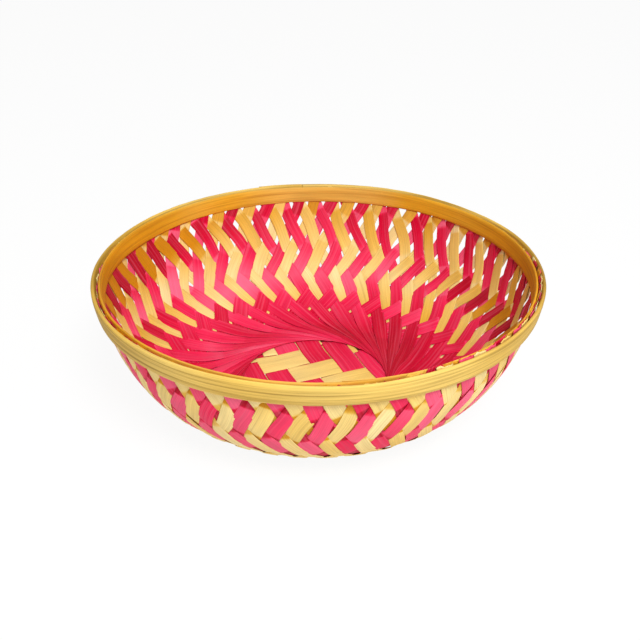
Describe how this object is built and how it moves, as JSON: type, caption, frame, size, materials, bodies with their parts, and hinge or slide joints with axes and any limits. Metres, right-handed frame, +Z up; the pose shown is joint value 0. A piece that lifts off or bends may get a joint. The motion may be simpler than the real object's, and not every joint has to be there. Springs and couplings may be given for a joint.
{
  "type": "woven bamboo basket",
  "caption": "Shallow round bowl of pink and natural bamboo splints, woven in a twill that swirls out from an open floor ring over a twilled mat, with its rim clamped between bent hoops.",
  "frame": {"origin": "on the ground, under the middle of the basket seen from above", "axes": "+Z up out of the bowl, -Y towards the viewer of the picture, +X to the right"},
  "size_m": [0.25, 0.2498, 0.075],
  "materials": {
    "pink_bamboo": "split bamboo dyed pink, with lengthwise fibres and a satin skin",
    "natural_bamboo": "undyed split bamboo, pale yellow, with lengthwise fibres and a satin skin",
    "rim_bamboo": "thicker split bamboo, golden, with long grain and a few fibres lifting"
  },
  "bodies": {
    "root": {"pink_splints_01": "pink_bamboo", "pink_splints_02": "pink_bamboo", "pink_splints_03": "pink_bamboo", "pink_splints_04": "pink_bamboo", "pink_splints_05": "pink_bamboo", "pink_splints_06": "pink_bamboo", "pink_splints_07": "pink_bamboo", "pink_splints_08": "pink_bamboo", "pink_splints_09": "pink_bamboo", "pink_splints_10": "pink_bamboo", "pink_splints_11": "pink_bamboo", "pink_splints_12": "pink_bamboo", "pink_splints_13": "pink_bamboo", "pink_splints_14": "pink_bamboo", "pink_splints_15": "pink_bamboo", "pink_splints_16": "pink_bamboo", "pink_splints_17": "pink_bamboo", "pink_splints_18": "pink_bamboo", "mat_pink_strip_01": "pink_bamboo", "mat_pink_strip_02": "pink_bamboo", "mat_pink_strip_03": "pink_bamboo", "mat_pink_strip_04": "pink_bamboo", "mat_pink_strip_05": "pink_bamboo", "mat_pink_strip_06": "pink_bamboo", "mat_pink_strip_07": "pink_bamboo", "natural_splints_01": "natural_bamboo", "natural_splints_02": "natural_bamboo", "natural_splints_03": "natural_bamboo", "natural_splints_04": "natural_bamboo", "natural_splints_05": "natural_bamboo", "natural_splints_06": "natural_bamboo", "natural_splints_07": "natural_bamboo", "natural_splints_08": "natural_bamboo", "natural_splints_09": "natural_bamboo", "natural_splints_10": "natural_bamboo", "natural_splints_11": "natural_bamboo", "natural_splints_12": "natural_bamboo", "natural_splints_13": "natural_bamboo", "natural_splints_14": "natural_bamboo", "natural_splints_15": "natural_bamboo", "natural_splints_16": "natural_bamboo", "natural_splints_17": "natural_bamboo", "natural_splints_18": "natural_bamboo", "mat_natural_strip_01": "natural_bamboo", "mat_natural_strip_02": "natural_bamboo", "mat_natural_strip_03": "natural_bamboo", "mat_natural_strip_04": "natural_bamboo", "mat_natural_strip_05": "natural_bamboo", "rim_outer_hoop": "rim_bamboo", "rim_inner_hoop": "rim_bamboo"}
  },
  "joints": []
}
